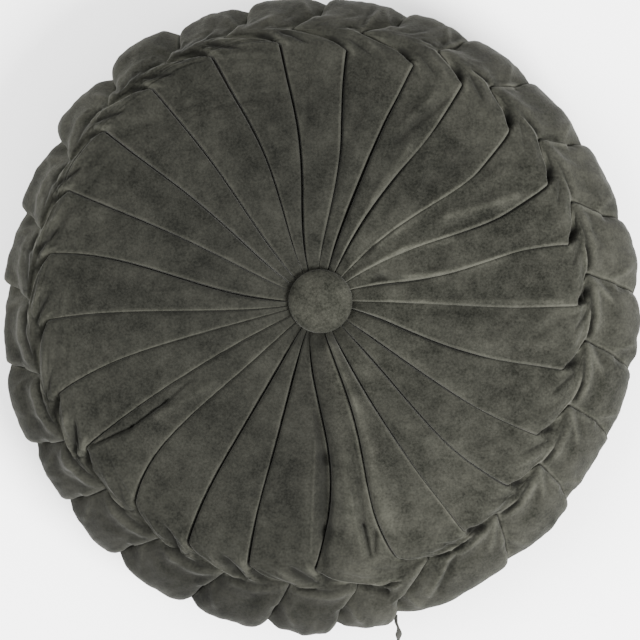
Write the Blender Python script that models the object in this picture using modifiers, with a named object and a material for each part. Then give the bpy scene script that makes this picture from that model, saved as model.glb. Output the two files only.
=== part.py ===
"""Round pleated cushion with a covered button on each side, lying on its back.

Metres, +Z up. The cushion's middle stands over the origin and its back crown rests on z = 0.
The cover is one strip of velvet: 25 knife pleats run from each button to the shoulder, turn there
into a plait, and open into the puffs of the side band. Angles run clockwise from +Y, seen from above.
"""

import math
from collections import namedtuple

import bmesh
import bpy
from mathutils import Vector

MM = 0.001
TURN = 2 * math.pi

# The button's axis, which the pleats run to, stands a little above the middle of the outline.
BUTTON_AXIS = Vector((-0.4, 12.0, 0.0)) * MM
SEAT_GAP = 0.3 * MM  # between a button and the cover
PLAIT_STEP = 14.4  # degrees that a pleat's edge runs back through the plait, about one pleat
SQUASH = 0.988  # the outline is a little shorter along Y than along X

# One row for each pleat. The angles in degrees say where its fold lies at the button, half way
# out, at the corner where it turns into the plait, and at its notch in the outline. The reach is
# the corner's distance from the button, in mm. The lip is the fold's height against its
# neighbours', and the sink is how far its panel lies below them, in mm.
Pleat = namedtuple("Pleat", "hub middle corner notch reach lip sink")
PLEATS = [
    Pleat(0, 7, 5.5, 0, 157, 1.0, 0.0),
    Pleat(11.5, 20, 21, 15.5, 157, 1.0, 0.0),
    Pleat(25, 32, 33, 28, 162, 1.1, 0.0),
    Pleat(41, 50.5, 47.5, 42, 159, 1.0, 0.5),
    Pleat(53, 64.5, 62.5, 57.5, 159, 1.2, 0.0),
    Pleat(66, 77.5, 77, 73, 158, 0.9, 0.5),
    Pleat(91, 92, 91, 87, 160, 1.0, 0.0),
    Pleat(105, 109, 106, 101, 157, 1.1, 0.0),
    Pleat(125, 124.5, 122, 115, 159, 0.9, 0.5),
    Pleat(139.5, 138.5, 135, 128, 165, 1.0, 0.0),
    Pleat(157, 151.5, 148, 143, 170, 0.9, 0.0),
    Pleat(168, 165, 165, 156, 157, 1.4, -1.0),
    Pleat(188, 180, 178, 170, 170, 0.8, 3.5),
    Pleat(206, 197.5, 195, 186, 173, 1.0, 1.0),
    Pleat(215, 212, 208.5, 201, 173, 1.0, 0.0),
    Pleat(229, 229, 223, 217, 169, 1.1, 0.5),
    Pleat(244, 242, 237, 229, 176, 1.0, 0.0),
    Pleat(255, 254, 249, 241, 176, 1.0, 0.5),
    Pleat(264, 266, 265.5, 256, 174, 0.9, 0.0),
    Pleat(272, 281, 279, 271, 174, 1.1, 0.0),
    Pleat(290, 294, 294, 286, 175, 1.0, 0.5),
    Pleat(302, 308, 308, 301, 175, 1.0, 0.0),
    Pleat(312, 321, 321, 316, 173, 1.1, 0.0),
    Pleat(331, 337, 335, 331, 170, 0.9, 0.5),
    Pleat(340, 351.5, 350, 345, 165, 1.0, 0.0),
]
COUNT = len(PLEATS)

# One row for each ring of the cover, from the middle of the front over the rim to the middle of
# the back, in mm. The shift is the ring's middle from the button's axis. The relief is the height
# of the folds, and the lean is +1 where each panel rises clockwise to its fold and -1 where it
# falls clockwise from it. The rows are the mesh rows from this ring to the next.
Ring = namedtuple("Ring", "name radius height shift_x shift_y relief lean rows")
RINGS = [
    Ring("front floor", 14.0, 74.0, 0.0, 0.0, 0.0, 1.0, 2),
    Ring("front hub", 21.0, 74.6, 0.0, 0.0, 1.8, 1.0, 2),
    Ring("front slope", 42.0, 87.0, 0.0, 0.0, 3.2, 1.0, 2),
    Ring("front crown", 94.0, 96.5, -2.0, -2.0, 3.4, 1.0, 3),
    Ring("front corner", 162.0, 85.0, -9.0, -7.5, 5.0, 1.0, 4),
    Ring("front plait", 174.5, 78.0, -7.5, -5.5, 6.5, 0.0, 3),
    Ring("front notch", 189.5, 65.0, -0.5, -6.5, 6.0, -1.0, 2),
    Ring("rim", 196.0, 48.0, 0.4, -7.2, 4.2, -1.0, 2),
    Ring("back notch", 190.0, 30.0, 0.0, -7.0, 5.0, -1.0, 2),
    Ring("back plait", 176.0, 18.0, -3.0, -6.0, 5.5, 0.0, 3),
    Ring("back corner", 164.0, 11.5, -4.0, -6.0, 4.0, 1.0, 3),
    Ring("back crown", 94.0, -0.5, -1.0, -2.0, 2.6, 1.0, 2),
    Ring("back slope", 42.0, 10.0, 0.0, 0.0, 3.0, 1.0, 2),
    Ring("back hub", 21.0, 21.4, 0.0, 0.0, 1.8, 1.0, 2),
    Ring("back floor", 14.0, 22.0, 0.0, 0.0, 0.0, 1.0, 1),
]
RING_AT = {ring.name: index for index, ring in enumerate(RINGS)}

# Where the mesh columns stand across one panel, as shares of its width: the crevice, the start
# of the panel, its body, and the lip of its fold.
COLUMNS = (0.0, 0.07, 0.22, 0.5, 0.78, 0.93)
CREVICE_WIDTH = 0.08
CREVICE_DEPTH = 0.6  # of the relief, below the cover's mean surface

# The button's outline from the middle of its dome to the middle of its flat underside: distance
# from its axis and height, in mm.
BUTTON_OUTLINE = (
    (0.0, 11.5),
    (6.5, 11.1),
    (12.0, 9.8),
    (16.5, 7.6),
    (19.3, 5.4),
    (20.0, 4.2),
    (19.2, 2.4),
    (17.0, 1.1),
    (14.5, 0.3),
    (12.5, 0.0),
    (0.0, 0.0),
)
BUTTON_STEPS = 40

# The pull tab leaves the puff before one fold, at a share of its width and a place along RINGS.
TAB_PLEAT = 12
TAB_SHARE = 0.66
TAB_PLACE = 7.15
TAB_CLEARANCE = 0.1 * MM
TAB_LENGTH = 17.0 * MM
TAB_THICKNESS = 1.4 * MM
TAB_TWIST = 80.0  # degrees
TAB_DROOP = 5.0 * MM
# Half widths of the tab in mm at even steps from its root to its tip.
TAB_HALF_WIDTHS = (1.3, 1.2, 1.6, 2.2, 1.7, 1.3, 1.4, 1.2)

VELVET = (0.075, 0.078, 0.058)
TAPE = (0.060, 0.062, 0.050)


def clear_scene():
    for item in list(bpy.data.objects):
        bpy.data.objects.remove(item, do_unlink=True)


def smooth(share):
    """A share from 0 to 1 eased at both ends."""
    share = min(max(share, 0.0), 1.0)
    return share * share * (3 - 2 * share)


def ring_value(column, place):
    """A column of RINGS at a place between its rows, on a curve through them all."""
    values = [getattr(ring, column) for ring in RINGS]
    last = len(values) - 1
    low = min(int(place), last - 1)
    share = place - low
    before = values[max(low - 1, 0)]
    start = values[low]
    end = values[low + 1]
    after = values[min(low + 2, last)]
    square = share * share
    cube = square * share
    return 0.5 * (
        2 * start
        + (end - before) * share
        + (2 * before - 5 * start + 4 * end - after) * square
        + (3 * start - before - 3 * end + after) * cube
    )


def plait_share(share):
    """How far round a fold has run when it is a given share of the way out through the plait."""
    return 0.5 * share + 0.5 * share**5


def mix(start, end, share):
    return start + (end - start) * share


def pleat_of(index):
    """The pleat of any index, with its angles carried on past a whole turn."""
    turns, row = divmod(index, COUNT)
    pleat = PLEATS[row]
    full = 360.0 * turns
    return pleat._replace(
        hub=pleat.hub + full,
        middle=pleat.middle + full,
        corner=pleat.corner + full,
        notch=pleat.notch + full,
    )


def panel_fold_angle(pleat, radius):
    """The angle of a fold on the face, on a smooth course past its button, middle and corner."""
    hub = RINGS[RING_AT["front hub"]].radius
    middle = RINGS[RING_AT["front crown"]].radius
    corner = RINGS[RING_AT["front corner"]].radius
    radius = max(radius, hub)
    curl_in, stretch_in = 1 / hub - 1 / middle, hub - middle
    curl_out, stretch_out = 1 / corner - 1 / middle, corner - middle
    inward = pleat.hub - pleat.middle
    outward = pleat.corner - pleat.middle
    span = curl_in * stretch_out - curl_out * stretch_in
    curl = (inward * stretch_out - outward * stretch_in) / span
    stretch = (curl_in * outward - curl_out * inward) / span
    return pleat.middle + curl * (1 / radius - 1 / middle) + stretch * (radius - middle)


def fold_angle(index, place):
    """The angle of a fold in degrees at a place along RINGS. The back repeats the front."""
    pleat = pleat_of(index)
    apex = pleat.corner - PLAIT_STEP
    place = min(place, 2 * RING_AT["rim"] - place)
    corner = RING_AT["front corner"]
    plait = RING_AT["front plait"]
    notch = RING_AT["front notch"]
    if place <= corner:
        return panel_fold_angle(pleat, ring_value("radius", place))
    if place <= plait:
        return mix(pleat.corner, apex, plait_share(place - corner))
    if place <= notch:
        return mix(apex, pleat.notch, smooth(place - plait))
    return pleat.notch


def corner_shift(index, share, place):
    """How far the corners of the two folds beside a panel stand out from their ring, in mm."""
    front = RING_AT["front corner"]
    if place >= front + 1 or place <= front - 1:
        return 0.0
    reach = []
    for number in (index - 1, index):
        pleat = pleat_of(number)
        way = math.radians(pleat.corner)
        ring = RINGS[front]
        even = ring.radius + ring.shift_x * math.sin(way) + ring.shift_y * math.cos(way)
        reach.append(pleat.reach - even)
    near = 1 - abs(place - front)
    return mix(reach[0], reach[1], share) * smooth(near)


def crevice(share):
    """0 in the crevice at either edge of a panel, 1 on the panel."""
    edge = min(share, 1 - share)
    return smooth(edge / CREVICE_WIDTH)


def fold_height(index, share, place):
    """The height of the cover's folds over its mean surface, in mm."""
    relief = ring_value("relief", place)
    lean = ring_value("lean", place)
    pleat = pleat_of(index)
    before = pleat_of(index - 1)
    rise = 0.5 + lean * (share - 0.5)
    lip = mix(before.lip, pleat.lip, share)
    puff = 4 * share * (1 - share)
    body = 0.25 + 0.55 * lip * rise + 0.35 * puff
    height = relief * (crevice(share) * (body + CREVICE_DEPTH) - CREVICE_DEPTH)
    hollow = RING_AT["front corner"] - 0.6
    return height - pleat.sink * puff * smooth(1 - abs(place - hollow))


def mean_point(angle, place):
    """The cover's mean surface in the plane of one angle: distance from the axis and height."""
    way = math.radians(angle)
    shift = ring_value("shift_x", place) * math.sin(way) + ring_value("shift_y", place) * math.cos(way)
    return ring_value("radius", place) + shift, ring_value("height", place)


def cover_point(index, share, place):
    """A point of the cover, on the panel before a fold, from 0 to 1 across it."""
    angle = mix(fold_angle(index - 1, place), fold_angle(index, place), share)
    radius, height = mean_point(angle, place)
    step = 0.02
    inner = mean_point(angle, max(place - step, 0.0))
    outer = mean_point(angle, min(place + step, len(RINGS) - 1.0))
    along = Vector((outer[0] - inner[0], outer[1] - inner[1]))
    outward = Vector((-along.y, along.x)).normalized()
    lift = fold_height(index, share, place)
    radius += corner_shift(index, share, place) + outward.x * lift
    height += outward.y * lift
    way = math.radians(angle)
    spot = Vector((radius * math.sin(way), radius * math.cos(way) * SQUASH, max(height, 0.0)))
    return spot * MM + BUTTON_AXIS


def mesh_places():
    """The place along RINGS of every mesh row."""
    places = []
    for index, ring in enumerate(RINGS[:-1]):
        places += [index + row / ring.rows for row in range(ring.rows)]
    return places + [len(RINGS) - 1.0]


def finish(name, mesh, colour, roughness, collection):
    for face in mesh.faces:
        face.smooth = True
    data = bpy.data.meshes.new(name)
    mesh.to_mesh(data)
    mesh.free()
    material = bpy.data.materials.new(name)
    material.use_nodes = True
    shader = material.node_tree.nodes["Principled BSDF"]
    shader.inputs["Base Color"].default_value = (*colour, 1.0)
    shader.inputs["Roughness"].default_value = roughness
    shader.inputs["Metallic"].default_value = 0.0
    data.materials.append(material)
    item = bpy.data.objects.new(name, data)
    collection.objects.link(item)
    return item


def add_cover(collection):
    """The filled cover: a globe whose meridians become the pleats and whose parallels the rings."""
    places = mesh_places()
    around = COUNT * len(COLUMNS)
    globe = bmesh.new()
    bmesh.ops.create_uvsphere(globe, u_segments=around, v_segments=len(places) + 1, radius=1.0)
    for vertex in globe.verts:
        spot = vertex.co
        row = round(math.acos(min(max(spot.z, -1.0), 1.0)) / math.pi * (len(places) + 1))
        if row == 0:
            vertex.co = BUTTON_AXIS + Vector((0, 0, RINGS[0].height * MM))
        elif row == len(places) + 1:
            vertex.co = BUTTON_AXIS + Vector((0, 0, RINGS[-1].height * MM))
        else:
            column = round(math.atan2(spot.x, spot.y) / TURN * around) % around
            index, part = divmod(column, len(COLUMNS))
            vertex.co = cover_point(index, COLUMNS[part], places[row - 1])
    return finish("cushion_cover", globe, VELVET, 0.85, collection)


def add_button(name, location, turned, collection):
    """A covered dome button, its outline spun about its own axis."""
    outline = bmesh.new()
    corners = [outline.verts.new((across * MM, 0.0, height * MM)) for across, height in BUTTON_OUTLINE]
    for upper, lower in zip(corners, corners[1:]):
        outline.edges.new((upper, lower))
    item = finish(name, outline, VELVET, 0.85, collection)
    item.location = location
    item.rotation_euler.x = math.pi if turned else 0.0
    spin = item.modifiers.new("Spin", "SCREW")
    spin.steps = BUTTON_STEPS
    spin.render_steps = BUTTON_STEPS
    spin.use_merge_vertices = True
    spin.merge_threshold = 0.00001
    return item


def add_tab(collection):
    """The pull tab: a flat tape that tapers, twists and droops from the side band."""
    steps = len(TAB_HALF_WIDTHS) - 1
    root = cover_point(TAB_PLEAT, TAB_SHARE, TAB_PLACE)
    out = (root - BUTTON_AXIS) * Vector((1, 1, 0))
    out.normalize()
    across = Vector((-out.y, out.x, 0.0))
    root += out * TAB_CLEARANCE
    tape = bmesh.new()
    bmesh.ops.create_grid(tape, x_segments=steps, y_segments=2, size=1.0)
    for vertex in tape.verts:
        share = (vertex.co.x + 1) / 2
        half = TAB_HALF_WIDTHS[round(share * steps)] * MM * vertex.co.y
        twist = math.radians(TAB_TWIST * share)
        side = across * math.cos(twist) + Vector((0, 0, math.sin(twist)))
        droop = Vector((0, 0, -TAB_DROOP * share * share))
        vertex.co = root + out * TAB_LENGTH * share + droop + side * half
    item = finish("pull_tab", tape, TAPE, 0.9, collection)
    wall = item.modifiers.new("Thickness", "SOLIDIFY")
    wall.thickness = TAB_THICKNESS
    wall.offset = 0.0
    return item


def main():
    clear_scene()
    collection = bpy.data.collections.new("Round cushion")
    bpy.context.scene.collection.children.link(collection)
    add_cover(collection)
    front = Vector((0, 0, RINGS[0].height * MM + SEAT_GAP))
    back = Vector((0, 0, RINGS[-1].height * MM - SEAT_GAP))
    add_button("front_button", BUTTON_AXIS + front, False, collection)
    add_button("back_button", BUTTON_AXIS + back, True, collection)
    add_tab(collection)


main()
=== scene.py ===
"""Round pleated velvet cushion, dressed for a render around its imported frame.

Metres, +Z up. Angles run clockwise from +Y, seen from above. The cover is one strip of velvet that
is pleated into each button, plaited at each shoulder and puffed in the side band.
"""

import math
from collections import namedtuple

import bmesh
import bpy
import numpy as np
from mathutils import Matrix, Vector, noise


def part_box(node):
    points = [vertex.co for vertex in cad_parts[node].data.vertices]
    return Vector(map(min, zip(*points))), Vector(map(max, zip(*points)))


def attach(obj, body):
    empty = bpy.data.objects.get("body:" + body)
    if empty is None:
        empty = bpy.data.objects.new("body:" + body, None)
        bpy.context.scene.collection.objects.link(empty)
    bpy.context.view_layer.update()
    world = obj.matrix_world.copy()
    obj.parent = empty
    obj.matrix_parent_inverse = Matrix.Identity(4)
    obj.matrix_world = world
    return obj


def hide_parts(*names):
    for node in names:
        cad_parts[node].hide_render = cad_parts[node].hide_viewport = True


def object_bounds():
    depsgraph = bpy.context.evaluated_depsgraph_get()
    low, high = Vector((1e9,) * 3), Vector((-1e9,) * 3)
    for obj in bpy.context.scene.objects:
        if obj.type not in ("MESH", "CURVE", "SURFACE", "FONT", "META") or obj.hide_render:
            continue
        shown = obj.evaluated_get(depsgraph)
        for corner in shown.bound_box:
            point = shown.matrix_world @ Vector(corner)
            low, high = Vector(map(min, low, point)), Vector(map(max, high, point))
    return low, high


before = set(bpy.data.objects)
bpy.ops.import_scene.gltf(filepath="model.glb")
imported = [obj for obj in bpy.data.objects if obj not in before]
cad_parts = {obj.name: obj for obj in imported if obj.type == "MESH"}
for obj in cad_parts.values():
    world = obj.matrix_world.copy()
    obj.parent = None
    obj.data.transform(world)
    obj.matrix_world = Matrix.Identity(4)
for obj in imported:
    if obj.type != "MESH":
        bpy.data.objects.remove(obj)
CAD_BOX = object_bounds()

bl_info = {
    "name": "Round Pleated Cushion",
    "version": (1, 0, 0),
    "blender": (4, 5, 0),
    "location": "3D View > Sidebar > Cushion",
    "description": "Makes a round velvet cushion with pleats, plaited shoulders and covered buttons",
    "category": "Add Mesh",
}

MM = 0.001
TURN = 2 * math.pi
STEP = 14.4  # degrees of one even pleat
AXIS_EAST, AXIS_NORTH = 1.0, 0.6  # mm from the middle of the front button's box
CORNER_OUT = 0.5  # mm that a corner stands out past its reach, where its lip is rolled
PLAIT_CURVE = 1.4  # how slowly a fold turns into the plait from its corner
PETAL_LEAN = 2.0  # degrees that a petal's edge runs on clockwise from its notch ring to the rim

# ---------------------------------------------------------------- the pleats and the rings

# One row for each pleat, clockwise. The angles in degrees say where its fold lies at the button,
# 50 mm and 105 mm from it, at its corner, where it leaves the plait, and at its notch in the
# outline. The reach is the corner's distance from the button in mm, and the braid that of the point
# where it leaves the plait. The bulge is how many mm the petal before its notch stands out from the
# rim. The lip is its fold's height against the others, and the sink how far its panel lies below
# them in mm. The gaps are the widths in mm of the opening beside the fold near the button, half way
# out and at the corner.
Pleat = namedtuple(
    "Pleat", "hub inner middle corner base notch reach braid bulge lip sink gap_in gap_mid gap_out"
)
PLEATS = [
    Pleat(-2.5, 4.8, 7.3, 6, -6, 0, 158.5, 172, 0, 1, 0, 0.5, 1.6, 1.4),
    Pleat(13.5, 16.5, 19.1, 21.3, 8.5, 15.5, 159.5, 171, -1, 1, 0, 2.4, 1.8, 0.7),
    Pleat(25.8, 27.3, 31.6, 33, 25, 28, 162, 173.5, -0.5, 1.1, 0, 1.4, 0.15, 0.9),
    Pleat(41, 43.5, 49.6, 47.7, 38, 42, 159, 171, 0, 1, 0.5, 0.1, 0.1, 0.9),
    Pleat(53, 57.5, 63.9, 62.7, 53, 57.5, 159, 169.5, -1, 1.2, 0, 0.05, 0.6, 0.9),
    Pleat(69, 76.2, 76.8, 77, 68, 73, 158, 168.5, -0.5, 0.9, 0.5, 0.6, 0, 0.3),
    Pleat(90, 90.8, 91.8, 91, 84, 87, 159.5, 166.5, 1.5, 1, 0, 0.1, 0.1, 0.2),
    Pleat(103.5, 108.3, 109.2, 106, 98.5, 101, 156, 166.5, 0.5, 1.1, 0, 1.3, 0.3, 0.3),
    Pleat(126, 125.8, 125, 122, 113, 114, 158.5, 168, -1.5, 0.9, 0.5, 1.3, 0.4, 0.3),
    Pleat(139.2, 139, 139.1, 135, 127, 128, 164, 170.5, -4, 1, 0, 1.5, 0.8, 0.8),
    Pleat(158.5, 155.3, 151.4, 148.3, 140.7, 143, 170, 173.5, -1.5, 0.9, 0, 1.5, 0.4, 0.3),
    Pleat(171, 165.2, 165.2, 163.8, 157, 165.3, 167, 174.5, -1, 1.5, -1, 1.3, 0.6, 1),
    Pleat(197, 184.5, 176.6, 181, 172, 176, 169, 180, 0.5, 1.3, 0, 1.2, 1, 0.8),
    Pleat(204, 199.6, 196.8, 195.2, 186, 188, 172, 178.5, 2.5, 1, 1, 1.6, 0.8, 1.6),
    Pleat(214, 211.9, 210.9, 208.6, 199, 202, 172.5, 180, 3, 1, 0, 1.2, 1.2, 1.6),
    Pleat(228.5, 227.6, 227.9, 222.6, 213.5, 217, 170, 178.5, 2.5, 1.1, 0.5, 0.2, 0.5, 1.2),
    Pleat(243.5, 242.4, 240.3, 237.7, 228.3, 230, 171.5, 177, 0.5, 1, 0, 0.2, 0.35, 0.6),
    Pleat(255.5, 254.6, 254, 250.3, 241, 242, 172, 181, -1.5, 1, 0.5, 0.1, 0.25, 0.4),
    Pleat(261, 263.4, 266.3, 265.8, 255, 257, 169.5, 180.5, 0.5, 0.9, 0, 0.1, 0.25, 0.3),
    Pleat(269.5, 274.6, 280.8, 280, 270, 272, 170, 180.5, -3, 1.1, 0, 1.3, 1, 0.3),
    Pleat(289.5, 292.9, 294.6, 293.9, 284.5, 286, 171, 179.5, -3, 1, 0.5, 0.6, 1, 0.7),
    Pleat(301, 306.4, 309.2, 308.6, 299.5, 301, 171.5, 178.5, -1.5, 1, 0, 1.4, 1.3, 1.4),
    Pleat(312.5, 317.9, 322.2, 321.9, 312.5, 316, 170, 180, 3.5, 1.1, 0, 1.2, 1.4, 1.2),
    Pleat(329, 336, 339.3, 336.4, 327, 331, 168, 178, 5.5, 0.9, 0.5, 0.8, 2, 2),
    Pleat(338.5, 347.4, 352.8, 351.2, 340, 345, 164, 176, 1, 1, 0, 1.8, 1.9, 1.8),
]
COUNT = len(PLEATS)

# One row for each pleat's plait, in the same order: the strengths of its lines in the table STRANDS,
# and how sharp its petal's edge is.
Plait = namedtuple("Plait", "eye slit strand tuck crisp")
PLAITS = [
    Plait(1.2, 0.3, 0.3, 0.6, 1),
    Plait(2.2, 0.5, 0.3, 0.5, 0.4),
    Plait(2.25, 0.5, 0.4, 0.6, 0.25),
    Plait(3, 1, 0.5, 0.3, 0.25),
    Plait(2.5, 0.9, 0.5, 0.3, 0.25),
    Plait(3.25, 0.5, 0.8, 0.42, 0.25),
    Plait(3.25, 1.6, 1.2, 0.54, 0.25),
    Plait(2.25, 1.8, 1, 0.48, 0.3),
    Plait(1.88, 1.2, 0.7, 0.48, 0.35),
    Plait(1.8, 1, 1, 0.4, 0.4),
    Plait(2, 1.3, 1, 0.6, 0.5),
    Plait(0.5, 2, 0.5, 0.2, 1),
    Plait(1.5, 2.6, 0.8, 1.2, 1),
    Plait(1.4, 3, 0.6, 1.9, 1),
    Plait(0.3, 1.4, 1.2, 1.9, 1),
    Plait(0.4, 2.2, 1.1, 0.5, 1),
    Plait(1.4, 2, 1.3, 1.6, 1),
    Plait(2, 1.4, 1.1, 0.5, 1),
    Plait(1, 1, 1, 0.9, 1),
    Plait(0.8, 1, 0.7, 1, 1),
    Plait(0.8, 1, 0.6, 0.8, 1),
    Plait(0.6, 0.8, 0.7, 0.8, 1),
    Plait(1.2, 0.8, 0.7, 1, 1),
    Plait(1.5, 0.6, 0.5, 1.1, 0.9),
    Plait(1.2, 0.5, 0.3, 0.9, 1),
]

# One row for each ring, from the middle of the front over the rim to the middle of the back, in
# mm. The shift is the ring's middle from the button's axis. The relief is the height of the folds'
# lips, the depth that of the gaps beside them, the puff how far the filling rounds each panel, and
# the gather the height of the fine gathers. The rows are the mesh rows from this ring to the next.
Ring = namedtuple("Ring", "name radius height shift_x shift_y relief depth puff gather rows")
RINGS = [
    Ring("front floor", 14.0, 74.0, 0.0, 0.0, 0.0, 0.0, 0.0, 0.0, 3),
    Ring("front hub", 21.0, 74.6, 0.0, 0.0, 1.0, 3.6, 0.4, 0.0, 8),
    Ring("front slope", 42.0, 87.0, 0.0, 0.0, 1.2, 5.0, 1.0, 0.0, 16),
    Ring("front crown", 94.0, 96.5, -2.0, -2.0, 1.2, 5.0, 1.4, 0.0, 18),
    Ring("front shoulder", 140.0, 91.3, -7.0, -6.0, 1.6, 5.0, 1.5, 0.0, 16),
    Ring("front corner", 160.0, 85.8, -9.0, -7.5, 2.0, 5.5, 1.6, 0.0, 24),
    Ring("front plait", 173.0, 77.5, -7.5, -5.5, 2.4, 5.5, 1.6, 0.3, 26),
    Ring("front notch", 188.0, 65.0, -0.5, -6.5, 2.3, 2.0, 2.4, 0.3, 14),
    Ring("rim", 198.3, 48.0, -0.6, -7.8, 2.2, 1.6, 2.0, 0.2, 12),
    Ring("back notch", 190.0, 30.0, 0.0, -7.0, 2.8, 2.0, 2.4, 0.6, 10),
    Ring("back plait", 176.0, 18.0, -3.0, -6.0, 3.0, 4.5, 1.6, 1.0, 10),
    Ring("back corner", 164.0, 11.5, -4.0, -6.0, 2.2, 4.5, 1.0, 0.1, 6),
    Ring("back shoulder", 140.0, 4.5, -3.0, -5.0, 1.6, 4.0, 0.8, 0.0, 7),
    Ring("back crown", 94.0, 0.4, -1.0, -2.0, 1.2, 3.4, 0.6, 0.0, 8),
    Ring("back slope", 42.0, 10.0, 0.0, 0.0, 1.2, 4.0, 0.8, 0.0, 6),
    Ring("back hub", 21.0, 21.2, 0.0, 0.0, 1.0, 3.4, 0.3, 0.0, 3),
    Ring("back floor", 14.0, 22.0, 0.0, 0.0, 0.0, 0.0, 0.0, 0.0, 1),
]
RING_AT = {ring.name: index for index, ring in enumerate(RINGS)}
CORNER = RING_AT["front corner"]
PLAIT = RING_AT["front plait"]
NOTCH = RING_AT["front notch"]
RIM = RING_AT["rim"]
SQUASH = 0.988  # the outline is a little shorter along Y than along X

# The columns of one panel: each edge takes EDGE of them, rounded as a lip or sloped as a start, and
# the body takes the rest.
EDGE = 7
BODY = 40
COLUMNS = 2 * EDGE + BODY - 1

# The lip's roundness, from curled under its fold to its top, in degrees, and its half width,
# half height and overhang in mm.
LIP_TURN = (-50.0, -22.0, 6.0, 34.0, 62.0, 90.0)
LIP_WIDTH = 2.1
LIP_HEIGHT = 2.3
LIP_OVERHANG = 0.5
LIP_PAINTED_LIGHT = (-1.0, -0.7, 0.0, 0.7, 0.5, 0.0)  # painted highlight on the lip's top and painted shade where it curls under, on the same points
# The start of a panel beside its neighbour's lip: distance from the fold in mm, and the share of
# the gap's depth that is left.
START_OUT = (0.2, 0.4, 0.65, 1.0, 1.6, 3.0)
START_DEPTH = (0.8, 0.5, 0.27, 0.12, 0.04, 0.0)
# The painted shade at the bottom of a start and the painted highlight on its edge, on the same points.
START_PAINTED_LIGHT = (-0.9, -0.5, 0.2, 0.8, 0.3, 0.0)
NARROW = 12.0  # mm between two folds below which their edges are drawn narrower
# The gap beside a fold: the share of its columns' width on the face, and its width in mm in the
# plait, in the side band and on the back. It opens from CLOSED mm and is open OPENING mm wider.
FACE_GAP = 0.8
PLAIT_GAP = 0.5
BAND_GAP = 0.3
BACK_GAP = 0.6
HALFWAY = 122.0  # mm from the button, where the gap half way out is told
CLOSED = 0.1
OPENING = 0.7
# How deep the cloth dips before a petal's edge in the side band, for the softest and the sharpest
# edge, and how far before it, on the plait and at the rim, in mm.
DIP = (1.0, 2.8)
DIP_REACH = (2.5, 8.0)
# Painted highlights that follow the light: lips catch it from SHINE_FROM degrees on, up to the
# full over SHINE_RISE, and lose it again up to SHINE_END over SHINE_FALL. The gains are the painted
# highlight's strength without and with it, and a gain below 0 paints shade.
SHINE_FROM, SHINE_RISE = 90, 70
SHINE_END, SHINE_FALL = 400, 60
LIP_HIGHLIGHT_GAIN = (1.7, 0.4)
START_HIGHLIGHT_GAIN = (-0.5, 1.9)
RIM_HIGHLIGHT = 0.8  # painted highlight on the fold between a corner and its base
PANEL_MIDDLE_DARKENING = -0.22  # how much darker the middle of a panel is
# What creases count against their rows, the painted highlight for each mm of a ridge and the
# painted shade for each mm of a hollow, the painted shade along a line, and the most painted
# highlight. Lines and creases end just past the rim.
CREASE_RELIEF = 1.5
RIDGE_HIGHLIGHT, HOLLOW_SHADE = 0.3, 0.13
LINE_SHADE = 1.2
MOST_HIGHLIGHT = 1.6
MARKS_END, MARKS_FADE = RIM + 0.4, 0.9

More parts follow.
